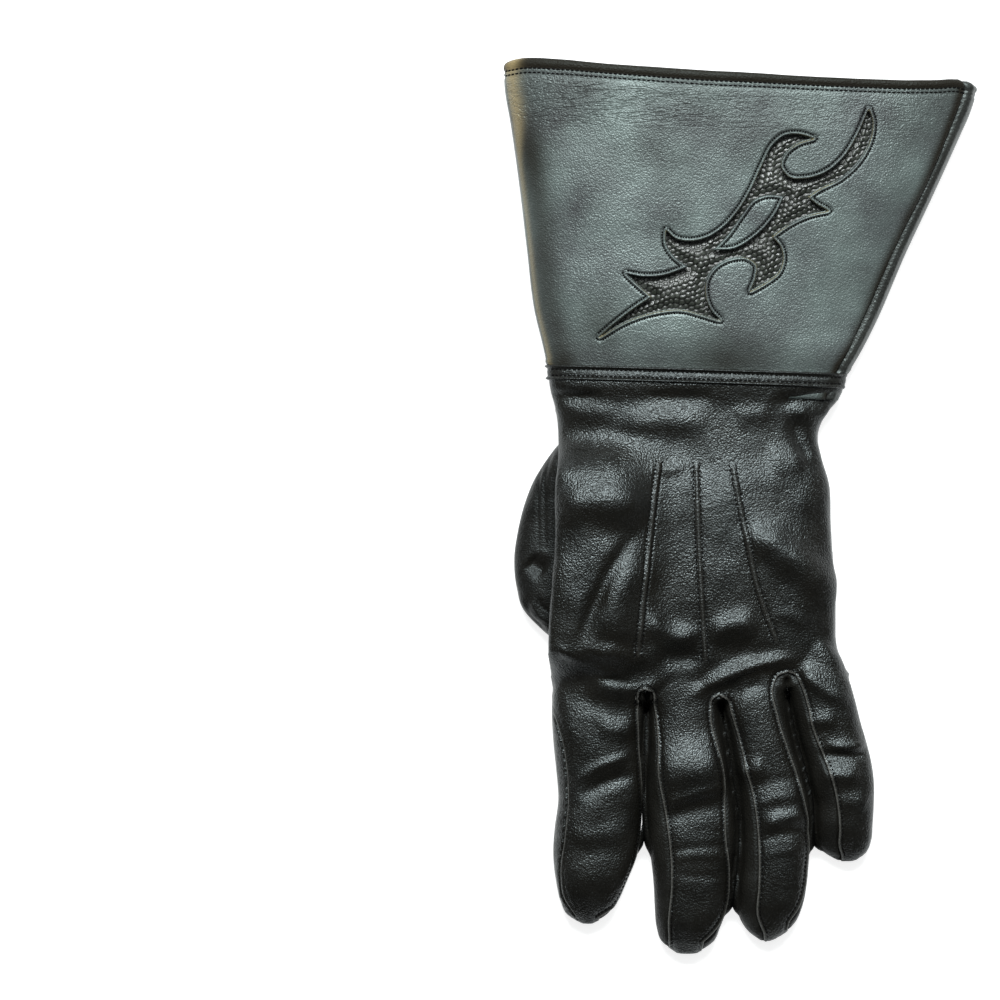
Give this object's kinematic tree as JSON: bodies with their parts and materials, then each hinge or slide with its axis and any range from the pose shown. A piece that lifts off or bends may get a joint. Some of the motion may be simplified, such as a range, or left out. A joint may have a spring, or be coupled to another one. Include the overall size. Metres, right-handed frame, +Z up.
{
  "type": "gauntlet glove",
  "caption": "Long-cuffed leather gauntlet glove lying palm down, with a flame cut-out on the flared cuff and raised points on the hand.",
  "frame": {"origin": "middle of the bounding box's underside, on the surface that the glove lies on", "axes": "+Y from the fingertips to the cuff's mouth, +X towards the little finger, +Z up out of the back of the hand"},
  "size_m": [0.177, 0.339, 0.03],
  "materials": {
    "hand_leather": "semi-gloss",
    "gusset_leather": "satin",
    "cuff_leather": "satin",
    "inlay_leather": "gloss",
    "thread": "matte"
  },
  "bodies": {
    "root": {"hand_back": "hand_leather", "hand_palm": "hand_leather", "thumb": "hand_leather", "fourchette_index_middle": "gusset_leather", "fourchette_middle_ring": "gusset_leather", "fourchette_ring_little": "gusset_leather", "wrist_band": "hand_leather", "cuff_back": "cuff_leather", "cuff_palm": "cuff_leather", "cuff_inlay": "inlay_leather", "cuff_leaf": "cuff_leather"}
  },
  "joints": []
}
